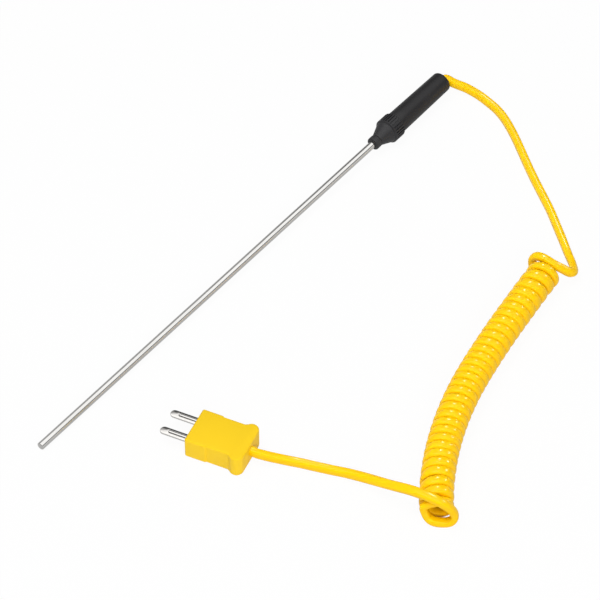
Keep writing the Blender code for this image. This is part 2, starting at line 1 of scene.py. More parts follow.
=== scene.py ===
"""Looks of a hand-held thermocouple probe: steel rod, black grip, yellow curly cord and plug."""

import json
import math

import bmesh
import bpy
import numpy as np
from bpy.props import FloatProperty, FloatVectorProperty, IntProperty, PointerProperty
from bpy.types import Operator, Panel, PropertyGroup
from mathutils import Matrix, Vector


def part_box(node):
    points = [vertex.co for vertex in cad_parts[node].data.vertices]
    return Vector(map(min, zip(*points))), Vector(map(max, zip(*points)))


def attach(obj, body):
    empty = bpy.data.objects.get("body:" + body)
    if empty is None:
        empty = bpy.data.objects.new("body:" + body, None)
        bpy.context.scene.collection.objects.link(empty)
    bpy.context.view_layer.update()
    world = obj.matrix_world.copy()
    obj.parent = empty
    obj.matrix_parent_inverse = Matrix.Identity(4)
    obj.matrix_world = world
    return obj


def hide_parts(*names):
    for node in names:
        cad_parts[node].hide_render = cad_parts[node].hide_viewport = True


bl_info = {
    "name": "Thermocouple probe finish",
    "version": (1, 0, 0),
    "blender": (4, 5, 0),
    "location": "3D View > Sidebar > Probe",
    "description": "Models and finishes a thermocouple probe with a curly cord on its frame",
    "category": "Object",
}

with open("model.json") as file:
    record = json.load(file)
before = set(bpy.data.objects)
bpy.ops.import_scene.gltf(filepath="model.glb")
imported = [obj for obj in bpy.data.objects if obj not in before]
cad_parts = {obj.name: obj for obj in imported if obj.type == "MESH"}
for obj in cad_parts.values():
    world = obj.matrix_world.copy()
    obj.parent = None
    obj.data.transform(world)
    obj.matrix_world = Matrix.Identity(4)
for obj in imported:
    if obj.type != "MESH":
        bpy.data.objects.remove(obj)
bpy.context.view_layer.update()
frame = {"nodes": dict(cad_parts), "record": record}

MM = 0.001
WELD = 0.002 * MM
SHARP = math.radians(38)
SOFT_EDGES = math.radians(60)

# Pins of the plug
PIN_PITCH = 7.94 * MM
PIN_HELD = 7.6 * MM
RIB_RADIUS = 0.6 * MM
RIB_HELD = 3.5 * MM
RIB_START = 2.9 * MM
RIB_SINK = 0.05 * MM
SLOT_GAP = 0.06 * MM

# Free runs of the cord in metres, from the grip to the coil and from the plug to the coil
UPPER_ROUTE = [
    (0.10995, 0.0, 0.0054), (0.1109, -2e-05, 0.00538), (0.11165, -0.001, 0.0051),
    (0.112, -0.0028, 0.0046), (0.1129, -0.005, 0.00395), (0.114, -0.0073, 0.0032),
    (0.1146, -0.01, 0.0026), (0.1148, -0.0134, 0.0021), (0.1144, -0.0173, 0.0018),
    (0.1133, -0.0223, 0.0017), (0.111, -0.0277, 0.0017), (0.1068, -0.0347, 0.0017),
    (0.1022, -0.0413, 0.0017), (0.0977, -0.0476, 0.0017), (0.0933, -0.054, 0.0017),
    (0.089, -0.0606, 0.0017), (0.0848, -0.067, 0.0017), (0.0803, -0.0731, 0.0017),
    (0.0758, -0.0791, 0.0017), (0.0716, -0.0845, 0.0018), (0.0678, -0.0892, 0.0026),
    (0.0648, -0.0918, 0.0037), (0.0623, -0.092, 0.005), (0.0606, -0.0899, 0.0068),
    (0.0589, -0.0871, 0.0087), (0.0586, -0.0836, 0.0093), (0.0583, -0.0807, 0.0089),
    (0.058, -0.0791, 0.0071), (0.0576, -0.0793, 0.0049), (0.057, -0.0804, 0.0032),
    (0.0564, -0.0817, 0.0024),
]
LOWER_ROUTE = [
    (-0.06919, -0.05772, 0.0049), (-0.0686, -0.0597, 0.0046), (-0.0676, -0.0613, 0.0041),
    (-0.0662, -0.0634, 0.0034), (-0.0644, -0.0659, 0.0026), (-0.0626, -0.0688, 0.002),
    (-0.061, -0.0717, 0.0017), (-0.059, -0.0765, 0.0017), (-0.057, -0.0812, 0.0017),
    (-0.0551, -0.086, 0.002), (-0.0538, -0.0913, 0.0029), (-0.0532, -0.0971, 0.0046),
    (-0.05315, -0.1032, 0.007), (-0.0531, -0.1074, 0.0088), (-0.0529, -0.1112, 0.0102),
    (-0.0526, -0.1146, 0.011), (-0.0519, -0.1192, 0.0114), (-0.0512, -0.1227, 0.0109),
    (-0.0495, -0.1252, 0.0082), (-0.0486, -0.1265, 0.0046), (-0.05, -0.1255, 0.0021),
    (-0.0526, -0.1219, 0.00185), (-0.0532, -0.119, 0.0027), (-0.0528, -0.1171, 0.0042),
    (-0.05165, -0.11595, 0.0059),
]
COIL_ROUTE = [
    (0.0549, -0.0859), (0.0468, -0.087), (0.0364, -0.0886), (0.0263, -0.0902),
    (0.0161, -0.0921), (0.0061, -0.0942), (-0.0039, -0.0967), (-0.0137, -0.0999),
    (-0.0233, -0.1038), (-0.0325, -0.1084), (-0.0413, -0.1137), (-0.0453, -0.1165),
    (-0.0476, -0.1182), (-0.0525, -0.1218),
]

# How far the cord reaches inside the grip and the plug
HELD_INSIDE = 0.9 * MM

# Pairs of a distance in mm along the coil's route and the turns that the coil has made there
COIL_TURNS = [
    (-1.0, 0.45), (0.0, 0.78), (1.2, 1.2), (6.05, 2.19), (9.95, 3.0), (14.2, 3.99), (18.0, 4.99),
    (21.87, 5.99), (25.55, 6.99), (29.34, 7.99), (36.94, 10.0), (40.58, 10.99), (44.75, 12.17),
    (51.58, 14.18), (58.18, 16.19), (65.1, 18.19), (72.54, 20.19), (79.71, 22.2), (86.55, 24.2),
    (93.43, 26.2), (97.29, 27.2), (101.21, 28.21), (105.49, 29.21), (109.46, 30.21),
    (112.95, 31.22),
]

# How much wider the cord is where the coil starts, over how many turns that fades, and how
# much of the room from turn to turn it may fill
OPEN_END_EXTRA = 1.0 * MM
OPEN_END_TURNS = 5
FILLED_PITCH = 0.985

# Where the last turn is pressed down by the loop over it: its middle and reach in turns, and depth
PRESSED_TURN = 31.03
PRESSED_REACH = 0.33
PRESSED_DEPTH = 1.6 * MM


class CordSizes(PropertyGroup):
    """Sizes of the curly cord."""

    width: FloatProperty(
        name="Width", description="Wide side of the oval cord, along the coil's axis",
        default=3.4 * MM, unit="LENGTH",
    )
    thickness: FloatProperty(
        name="Thickness", description="Narrow side of the oval cord", default=2.9 * MM,
        unit="LENGTH",
    )
    turn_width: FloatProperty(
        name="Turn width", description="Widest that the cord gets on the coil", default=3.8 * MM,
        unit="LENGTH",
    )
    turn_thickness: FloatProperty(
        name="Turn thickness", description="Narrow side of the cord on the coil", default=2.7 * MM,
        unit="LENGTH",
    )
    squareness: FloatProperty(
        name="Squareness", description="2 for an ellipse, more for a fuller section", default=2.7,
    )
    coil_radius: FloatProperty(
        name="Coil radius", description="From the coil's axis to the cord's middle",
        default=4.45 * MM, unit="LENGTH",
    )
    turn_points: IntProperty(
        name="Points a turn", description="Points of the route on each turn", default=16, min=12,
    )
    ring_step: FloatProperty(
        name="Ring step", description="Distance between the rings of the cord's mesh",
        default=0.75 * MM, unit="LENGTH",
    )
    sides: IntProperty(
        name="Sides", description="Corners of the cord's section", default=26, min=8,
    )


class ProbeSizes(PropertyGroup):
    """Sizes of the rod and the grip."""

    rod: FloatProperty(
        name="Rod", description="Outside diameter of the steel rod", default=2.7 * MM,
        unit="LENGTH",
    )
    rod_shown: FloatProperty(
        name="Rod shown", description="Length of the rod in front of the grip",
        default=178.3 * MM, unit="LENGTH",
    )
    tip_rounding: FloatProperty(
        name="Tip rounding", description="Radius of the rod's front edge", default=0.3 * MM,
        unit="LENGTH",
    )
    collar: FloatProperty(
        name="Collar", description="Outside diameter of the ribbed collar", default=9.6 * MM,
        unit="LENGTH",
    )
    ribs: IntProperty(name="Ribs", description="Ribs round the collar", default=28, min=3)
    rib_depth: FloatProperty(
        name="Rib depth", description="Depth of the grooves, less than the collar's chamfer",
        default=0.37 * MM, unit="LENGTH",
    )
    body: FloatProperty(
        name="Body", description="Diameter of the grip's tube at its rear", default=7.7 * MM,
        unit="LENGTH",
    )
    body_front: FloatProperty(
        name="Body front", description="Diameter of the grip's tube at its front",
        default=8.35 * MM, unit="LENGTH",
    )
    body_length: FloatProperty(
        name="Body length", description="Length of the grip's tube", default=27.8 * MM,
        unit="LENGTH",
    )
    rear_rounding: FloatProperty(
        name="Rear rounding", description="Radius of the tube's rear edge", default=0.9 * MM,
        unit="LENGTH",
    )


class PlugSizes(PropertyGroup):
    """Sizes of the flat-pin plug."""

    length: FloatProperty(
        name="Length", description="Length of the moulded body", default=20.9 * MM, unit="LENGTH",
    )
    width: FloatProperty(
        name="Width", description="Width of the moulded body", default=15.0 * MM, unit="LENGTH",
    )
    height: FloatProperty(
        name="Height", description="Height of the moulded body", default=8.4 * MM, unit="LENGTH",
    )
    flange_width: FloatProperty(
        name="Flange width", description="Width of the rear grip flange", default=17.0 * MM,
        unit="LENGTH",
    )
    edge: FloatProperty(
        name="Edge", description="Rounding of the upper and lower edges", default=0.65 * MM,
        unit="LENGTH",
    )
    pin_level: FloatProperty(
        name="Pin level", description="Height of the pins and of the cord's hole",
        default=4.9 * MM, unit="LENGTH",
    )
    pin_shown: FloatProperty(
        name="Pin length", description="Length of the pins in front of the body",
        default=10.4 * MM, unit="LENGTH",
    )
    pin_width: FloatProperty(
        name="Pin width", description="Width of the blades", default=3.0 * MM, unit="LENGTH",
    )
    pin_thickness: FloatProperty(
        name="Pin thickness", description="Thickness of the blades", default=0.7 * MM,
        unit="LENGTH",
    )


class FinishColours(PropertyGroup):
    """Colours of the finishes."""

    jacket: FloatVectorProperty(
        name="Cord jacket", description="Glossy yellow of the cord", subtype="COLOR",
        default=(0.98, 0.59, 0.0012), size=3,
    )
    moulding: FloatVectorProperty(
        name="Plug moulding", description="Satin yellow of the plug", subtype="COLOR",
        default=(0.99, 0.66, 0.011), size=3,
    )
    grip: FloatVectorProperty(
        name="Grip", description="Near black of the grip's tube", subtype="COLOR",
        default=(0.009, 0.0085, 0.0095), size=3,
    )
    # The nose cap's paler black is painted sheen: it stands in for the grazing highlights on its
    # cone, as the cap is the same black plastic as the grip
    nose: FloatVectorProperty(
        name="Nose cap", description="Slightly paler black of the nose cap", subtype="COLOR",
        default=(0.02, 0.0195, 0.0215), size=3,
    )
    steel: FloatVectorProperty(
        name="Rod", description="Polished stainless steel", subtype="COLOR",
        default=(0.78, 0.77, 0.75), size=3,
    )
    nickel: FloatVectorProperty(
        name="Pins", description="Bright nickel plating", subtype="COLOR",
        default=(0.86, 0.84, 0.81), size=3,
    )


class StageSizes(PropertyGroup):
    """Sizes and strengths of the studio."""

    floor: FloatProperty(
        name="Floor", description="Side of the square floor", default=6.0, unit="LENGTH",
    )
    top_lamp: FloatProperty(
        name="Top lamp", description="Power of the soft lamp overhead", default=6.9, unit="POWER",
    )
    side_lamp: FloatProperty(
        name="Side lamp", description="Power of the lamp beside the camera", default=6.3,
        unit="POWER",
    )
    spot_lamps: FloatProperty(
        name="Spot lamps", description="Power of each small lamp that dots the cord", default=3.8,
        unit="POWER",
    )
    room: FloatProperty(
        name="Room light", description="Strength of the even light of the room", default=0.42,
    )


class Reading:
    """A socket's value in a finish. Python's operators on it add Math nodes."""

    def __init__(self, finish, socket):
        self.finish = finish
        self.socket = socket

    def math(self, operation, first, second):
        return self.finish.node("ShaderNodeMath", {"operation": operation}, {0: first, 1: second})

    def __add__(self, other):
        return self.math("ADD", self, other)

    def __radd__(self, other):
        return self.math("ADD", other, self)

    def __sub__(self, other):
        return self.math("SUBTRACT", self, other)

    def __rsub__(self, other):
        return self.math("SUBTRACT", other, self)

    def __mul__(self, other):
        return self.math("MULTIPLY", self, other)

    def __rmul__(self, other):
        return self.math("MULTIPLY", other, self)


class Finish:
    """A node tree under construction, for a material or the world."""

    def __init__(self, owner, output="ShaderNodeOutputMaterial"):
        owner.use_nodes = True
        self.owner = owner
        self.tree = owner.node_tree
        self.tree.nodes.clear()
        self.output = self.tree.nodes.new(output)

    def join(self, target, value):
        if isinstance(value, Reading):
            self.tree.links.new(value.socket, target)
        elif target.type == "RGBA":
            target.default_value = (*tuple(value)[:3], 1.0)
        else:
            target.default_value = value

    def node(self, kind, settings=None, inputs=None, out=0):
        """Adds a node with its settings, then its sockets' values or links. Reads one output."""
        made = self.tree.nodes.new(kind)
        for name, value in (settings or {}).items():
            if name == "stops":
                self.set_ramp(made.color_ramp, value)
            else:
                setattr(made, name, value)
        for name, value in (inputs or {}).items():
            self.join(self.socket(made.inputs, name), value)
        return Reading(self, self.socket(made.outputs, out))

    def socket(self, sockets, name):
        if isinstance(name, int):
            return sockets[name]
        for candidate in sockets:
            if candidate.identifier == name:
                return candidate
        return sockets[name]

    def set_ramp(self, ramp, stops):
        while len(ramp.elements) < len(stops):
            ramp.elements.new(1.0)
        for element, (place, value) in zip(ramp.elements, stops):
            element.position = place
            element.color = (value, value, value, 1.0)

    def coords(self, scale=(1, 1, 1)):
        """Object coordinates in metres, scaled along each axis."""
        place = self.node("ShaderNodeTexCoord", out="Object")
        return self.node(
            "ShaderNodeMapping", {"vector_type": "POINT"}, {"Vector": place, "Scale": scale},
        )

    def noise(self, vector, scale, detail, roughness=0.5):
        return self.node(
            "ShaderNodeTexNoise", {},
            {"Vector": vector, "Scale": scale, "Detail": detail, "Roughness": roughness},
            out="Fac",
        )

    def ramp(self, value, *stops):
        return self.node("ShaderNodeValToRGB", {"stops": stops}, {"Fac": value}, out="Color")

    def step(self, value, low, high):
        """A smooth step from 0 at low to 1 at high, which may also run downwards."""
        return self.node(
            "ShaderNodeMapRange", {"interpolation_type": "SMOOTHSTEP"},
            {"Value": value, "From Min": low, "From Max": high}, out="Result",
        )

    def mix(self, factor, first, second):
        return self.node(
            "ShaderNodeMix", {"data_type": "RGBA", "clamp_factor": True},
            {"Factor_Float": factor, "A_Color": first, "B_Color": second}, out="Result_Color",
        )

    def bump(self, height, distance, strength):
        return self.node(
            "ShaderNodeBump", {},
            {"Height": height, "Distance": distance, "Strength": strength}, out="Normal",
        )

    def surface(self, **sockets):
        """Ends the finish in a Principled BSDF with these sockets."""
        inputs = {name.replace("_", " "): value for name, value in sockets.items()}
        self.end(self.node("ShaderNodeBsdfPrincipled", {}, inputs))
        return self.owner

    def end(self, shader):
        self.tree.links.new(shader.socket, self.output.inputs["Surface"])


def new_finish(name):
    return Finish(bpy.data.materials.new(name))


def jacket_finish(colour):
    """Glossy soft vinyl: a smooth skin with faint waves, a little deeper in colour in places."""
    finish = new_finish("cord_jacket")
    place = finish.coords()
    cloud = finish.noise(place, 90.0, 2.0)
    waves = finish.noise(place, 130.0, 1.0)
    deeper = (colour[0] * 0.96, colour[1] * 0.93, colour[2] * 0.6)
    return finish.surface(
        Base_Color=finish.mix(cloud * 0.8, colour, deeper),
        Roughness=finish.ramp(cloud, (0.3, 0.17), (0.7, 0.23)),
        Specular_IOR_Level=0.22,
        Normal=finish.bump(waves, 0.006 * MM, 0.3),
    )


def moulding_finish(colour):
    """Satin moulded plastic with a fine even texture."""
    finish = new_finish("plug_moulding")
    place = finish.coords()
    cloud = finish.noise(place, 60.0, 3.0)
    grain = finish.noise(place, 5200.0, 3.0, 0.6)
    deeper = (colour[0] * 0.97, colour[1] * 0.95, colour[2] * 0.8)
    return finish.surface(
        Base_Color=finish.mix(cloud, colour, deeper),
        Roughness=finish.ramp(grain, (0.3, 0.44), (0.7, 0.56)),
        Specular_IOR_Level=0.3,
        Normal=finish.bump(grain, 0.02 * MM, 0.5),
    )


def grip_finish(name, colour):
    """Near-black satin plastic with a fine moulded grain and a few paler rubbed spots."""
    finish = new_finish(name)
    place = finish.coords()
    cloud = finish.noise(place, 120.0, 4.0)
    grain = finish.noise(place, 6000.0, 3.0, 0.6)
    rubbed = tuple(part * 1.5 + 0.004 for part in colour)
    return finish.surface(
        Base_Color=finish.mix(finish.ramp(cloud, (0.45, 0.0), (0.75, 0.6)), colour, rubbed),
        Roughness=finish.ramp(cloud, (0.3, 0.4), (0.7, 0.52)),
        Normal=finish.bump(grain, 0.008 * MM, 0.5),
    )


def drawn_metal_finish(name, colour, along, rough_low, rough_high):
    """Drawn and polished metal with fine streaks along its length and a few hazy patches."""
    finish = new_finish(name)
    streaks = finish.noise(finish.coords(scale=along), 1.0, 4.0, 0.6)
    haze = finish.noise(finish.coords(), 70.0, 3.0)
    darker = tuple(part * 0.86 for part in colour)
    return finish.surface(
        Base_Color=finish.mix(finish.ramp(streaks, (0.35, 0.0), (0.7, 1.0)), colour, darker),
        Metallic=1.0,
        Roughness=finish.ramp(streaks * 0.6 + haze * 0.4, (0.35, rough_low), (0.65, rough_high)),
        Normal=finish.bump(streaks, 0.0003 * MM, 0.2),
    )


def small_part_finish(name, colour, roughness, metallic):
    """A finish for the small parts inside, with a faint mottle."""
    finish = new_finish(name)
    mottle = finish.noise(finish.coords(), 900.0, 3.0)
    darker = tuple(part * 0.85 for part in colour)
    return finish.surface(
        Base_Color=finish.mix(mottle, colour, darker),
        Metallic=metallic,
        Roughness=finish.ramp(mottle, (0.3, roughness * 0.85), (0.7, roughness * 1.15)),
    )


def floor_finish():
    """White table: nearly even white to the camera, grey to reflections, else matt."""
    white_to_camera = 0.95
    grey_to_gloss = 0.58
    finish = new_finish("white_table")
    camera = finish.node("ShaderNodeLightPath", out="Is Camera Ray")
    glossy = finish.node("ShaderNodeLightPath", out="Is Glossy Ray")
    matt = finish.node("ShaderNodeBsdfDiffuse", {}, {"Color": (0.9, 0.9, 0.9)})
    strength = camera + glossy * grey_to_gloss
    glow = finish.node("ShaderNodeEmission", {}, {"Color": (1, 1, 1), "Strength": strength})
    share = camera * white_to_camera + glossy
    finish.end(finish.node("ShaderNodeMixShader", {}, {0: share, 1: matt, 2: glow}))
    return finish.owner


def node_points(node):
    """The different corners of a CAD node, as an array."""
    found = np.array([corner.co for corner in frame["nodes"][node].data.vertices])
    return np.unique(found.round(7), axis=0)


def probe_place():
    """A matrix whose +Z runs from the rod's tip to the grip's rear, with the tip at its origin."""
    rod = node_points("sheath_tube")
    middle = rod.mean(axis=0)
    axis = unit(node_points("handle_body").mean(axis=0) - middle)
    tip = middle + axis * ((rod - middle) @ axis).min()
    turn = Vector(axis).to_track_quat("Z", "X").to_matrix().to_4x4()
    return Matrix.Translation(tip) @ turn


def plug_place():
    """A matrix whose +X runs from the plug's front face to its cord, at the floor's height."""
    first = sum(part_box("positive_pin"), Vector()) / 2
    second = sum(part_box("negative_pin"), Vector()) / 2
    across = first - second
    across.z = 0
    across.normalize()
    along = across.cross(Vector((0, 0, 1)))
    middle = (first + second) / 2
    reach = node_points("plug_body") @ np.array(along)
    if reach.mean() < middle.dot(along):
        along.negate()
        across.negate()
        reach = -reach
    start = middle + along * (reach.min() - middle.dot(along))
    start.z = 0
    turn = Matrix((along, across, (0, 0, 1))).transposed().to_4x4()
    return Matrix.Translation(start) @ turn


def deselect():
    for obj in bpy.context.selected_objects:
        obj.select_set(False)


def only(obj):
    deselect()
    obj.select_set(True)
    bpy.context.view_layer.objects.active = obj


def start_edit(obj):
    only(obj)
    bpy.ops.object.mode_set(mode="EDIT")


def end_edit():
    bpy.ops.object.mode_set(mode="OBJECT")


def choose_faces(obj, test):
    """Selects the faces, in edit mode, whose middle and normal pass the test."""
    bpy.ops.mesh.select_mode(type="FACE")
    bpy.ops.mesh.select_all(action="DESELECT")
    shape = bmesh.from_edit_mesh(obj.data)
    shape.normal_update()
    for face in shape.faces:
        face.select_set(test(face.calc_center_median(), face.normal))
    bmesh.update_edit_mesh(obj.data)


def choose_corners(obj, test, among_selected=False):
    """Selects the corners, in edit mode, whose place passes the test."""
    bpy.ops.mesh.select_mode(type="VERT")
    shape = bmesh.from_edit_mesh(obj.data)
    among = [vert for vert in shape.verts if vert.select or not among_selected]
    chosen = [vert for vert in among if test(vert.co)]
    for vert in shape.verts:
        vert.select_set(False)
    for vert in chosen:
        vert.select_set(True)
    shape.select_flush(False)
    bmesh.update_edit_mesh(obj.data)


def chain(name, points):
    """A chain of edges drawn corner by corner, left in edit mode with all of it selected."""
    deselect()
    bpy.ops.mesh.primitive_circle_add(vertices=3, radius=MM, location=(0, 0, 0))
    obj = bpy.context.object
    obj.name = name
    obj.data.name = name
    start_edit(obj)
    bpy.ops.mesh.select_all(action="SELECT")
    bpy.ops.mesh.merge(type="CENTER")
    bpy.ops.transform.translate(value=points[0])
    for before, after in zip(points, points[1:]):
        step = Vector(after) - Vector(before)
        bpy.ops.mesh.extrude_vertices_move(TRANSFORM_OT_translate={"value": step})
    bpy.ops.mesh.select_all(action="SELECT")
    return obj


def turned(name, profile, steps):
    """A solid spun about Z from (radius, height) points, left in edit mode."""
    obj = chain(name, [(radius, 0, height) for radius, height in profile])
    bpy.ops.mesh.spin(steps=steps, angle=2 * math.pi, center=(0, 0, 0), axis=(0, 0, 1))
    bpy.ops.mesh.select_all(action="SELECT")
    bpy.ops.mesh.remove_doubles(threshold=WELD)
    bpy.ops.mesh.normals_make_consistent(inside=False)
    return obj


def flat_plate(name, outline, thickness):
    """A plate from an outline of (x, y) points, from height 0 up, left in edit mode."""
    obj = chain(name, [(x, y, 0) for x, y in outline])
    bpy.ops.mesh.edge_face_add()
    bpy.ops.mesh.select_all(action="SELECT")
    bpy.ops.mesh.extrude_region_move(TRANSFORM_OT_translate={"value": (0, 0, thickness)})
    bpy.ops.mesh.select_all(action="SELECT")
    bpy.ops.mesh.normals_make_consistent(inside=False)
    return obj


def arc(middle, size, start, end, steps):
    """Points on an arc about a middle point, from one angle in degrees to another."""
    points = []
    for i in range(steps + 1):
        angle = math.radians(start + (end - start) * i / steps)
        points.append((middle[0] + size * math.cos(angle), middle[1] + size * math.sin(angle)))
    return points


def add_modifier(obj, kind, **settings):
    """Puts a modifier on a piece and applies it."""
    modifier = obj.modifiers.new(kind.title(), kind)
    for name, value in settings.items():
        setattr(modifier, name, value)
    only(obj)
    bpy.ops.object.modifier_apply(modifier=modifier.name)


def soften(obj, width, segments):
    """Rounds the sharp edges of a piece."""
    add_modifier(
        obj, "BEVEL", width=width, segments=segments, limit_method="ANGLE",
        angle_limit=SOFT_EDGES, use_clamp_overlap=False,
    )


def combine(obj, tool, operation):
    """Cuts or joins another solid, which is used up."""
    add_modifier(obj, "BOOLEAN", object=tool, operation=operation, solver="EXACT")
    bpy.data.objects.remove(tool)


def box_tool(low, high):
    """A block between two corners, to cut with."""
    deselect()
    middle = [(a + b) / 2 for a, b in zip(low, high)]
    bpy.ops.mesh.primitive_cube_add(size=1, location=middle)
    bpy.context.object.dimensions = [b - a for a, b in zip(low, high)]
    return bpy.context.object


def finish_piece(obj, place, material, slot, *nodes):
    """Puts a modelled piece in its place, shades it and ties it to the frame."""
    obj.data.transform(place)
    obj.matrix_world = Matrix.Identity(4)
    obj.data.materials.clear()
    obj.data.materials.append(material)
    only(obj)
    bpy.ops.object.shade_smooth_by_angle(angle=SHARP)
    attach(obj, "root")
    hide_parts(*nodes)


def smooth_line(route, step):
    """Points about one step apart on a smooth curve through the route's own points."""
    places = [np.array(point) for point in route]
    ends = [2 * places[0] - places[1]] + places + [2 * places[-1] - places[-2]]
    fine = []
    samples = 24
    for before, start, end, after in zip(ends, ends[1:], ends[2:], ends[3:]):
        for i in range(samples):
            t = i / samples
            fine.append(0.5 * (
                2 * start + (end - before) * t
                + (2 * before - 5 * start + 4 * end - after) * t ** 2
                + (3 * start - 3 * end + after - before) * t ** 3
            ))
    fine.append(places[-1])
    fine = np.array(fine)
    lengths = run_lengths(fine)
    wanted = np.linspace(0, lengths[-1], round(lengths[-1] / step) + 1)
    return np.stack([np.interp(wanted, lengths, column) for column in fine.T], axis=1)


def run_lengths(line):
    """Distance along a line at each of its points."""
    return np.concatenate([[0], np.cumsum(np.linalg.norm(np.diff(line, axis=0), axis=1))])


def unit(vectors):
    return vectors / np.linalg.norm(vectors, axis=-1, keepdims=True)


def coil_points(sizes):
    """Points of the coil, turn by turn, with its axis' direction and the cord's width at each."""
    axis = smooth_line(COIL_ROUTE, 0.25 * MM)
    runs = run_lengths(axis)
    ahead = unit(np.gradient(axis, axis=0))
    distances, turns = np.array(COIL_TURNS).T
    pitches = np.gradient(distances, turns) * MM
    level = sizes.coil_radius + sizes.turn_thickness / 2
    points = []
    directions = []
    widths = []
    for turn in np.arange(turns[0], turns[-1], 1 / sizes.turn_points):
        run = np.interp(turn, turns, distances) * MM
        middle = [np.interp(run, runs, column) for column in axis.T]
        forward = [np.interp(run, runs, column) for column in ahead.T]
        if run < 0:
            middle = [value + run * part for value, part in zip(middle, forward)]
        angle = math.pi / 2 - 2 * math.pi * turn
        beside = sizes.coil_radius * math.cos(angle)
        height = level + sizes.coil_radius * math.sin(angle) - pressed(turn)
        points.append((middle[0] + beside * forward[1], middle[1] - beside * forward[0], height))
        directions.append((*forward, 0))
        pitch = np.interp(turn, turns, pitches)
        opened = OPEN_END_EXTRA * max(1 - turn / OPEN_END_TURNS, 0.0)
        widths.append(min(sizes.turn_width + opened, FILLED_PITCH * pitch))
    return points, directions, widths


def pressed(turn):
    """How far the last turn's top is pressed down by the loop that lies over it."""
    share = (turn - PRESSED_TURN) / PRESSED_REACH
    return PRESSED_DEPTH * math.cos(share * math.pi / 2) ** 2 if abs(share) < 1 else 0.0


def wide_sides(line, wishes):
    """Vectors across the line that follow the wished directions and turn evenly in between."""
    forward = unit(np.gradient(line, axis=0))
    carried = [unit(np.cross(forward[0], (0, 1, 0)))]
    for direction in forward[1:]:
        carried.append(unit(carried[-1] - direction * (carried[-1] @ direction)))
    places = sorted(wishes)
    angles = []
    for index in places:
        wish = np.array(wishes[index])
        other = np.cross(forward[index], carried[index])
        angle = math.atan2(wish @ other, wish @ carried[index])
        if angles:
            angle += math.pi * round((angles[-1] - angle) / math.pi)
        angles.append(angle)
    twists = np.interp(range(len(line)), places, angles)
    sides = []
    for direction, side, twist in zip(forward, carried, twists):
        sides.append(side * math.cos(twist) + np.cross(direction, side) * math.sin(twist))
    return np.array(sides), forward


def nearest(line, point):
    """Which of a line's points is nearest to a point."""
    return int(np.argmin(np.linalg.norm(line - np.array(point), axis=1)))


class PROBE_OT_camera(Operator):
    """Place the camera at the photograph's view"""

    bl_idname = "probe.camera"
    bl_label = "Camera"

    PLACE = Vector((-0.6553, -0.5533, 0.9163))
    TARGET = Vector((-0.00298, -0.02467, 0.0))
    SENSOR = 36.0
    LENS = 216.0
    NEAREST_SEEN = 0.05
    FARTHEST_SEEN = 20.0

    def execute(self, context):
        data = bpy.data.cameras.new("camera")
        data.sensor_width = self.SENSOR
        data.lens = self.LENS
        data.clip_start = self.NEAREST_SEEN
        data.clip_end = self.FARTHEST_SEEN
        camera = bpy.data.objects.new("camera", data)
        context.scene.collection.objects.link(camera)
        camera.location = self.PLACE
        camera.rotation_euler = (self.TARGET - self.PLACE).to_track_quat("-Z", "Y").to_euler()
        context.scene.camera = camera
        return {"FINISHED"}


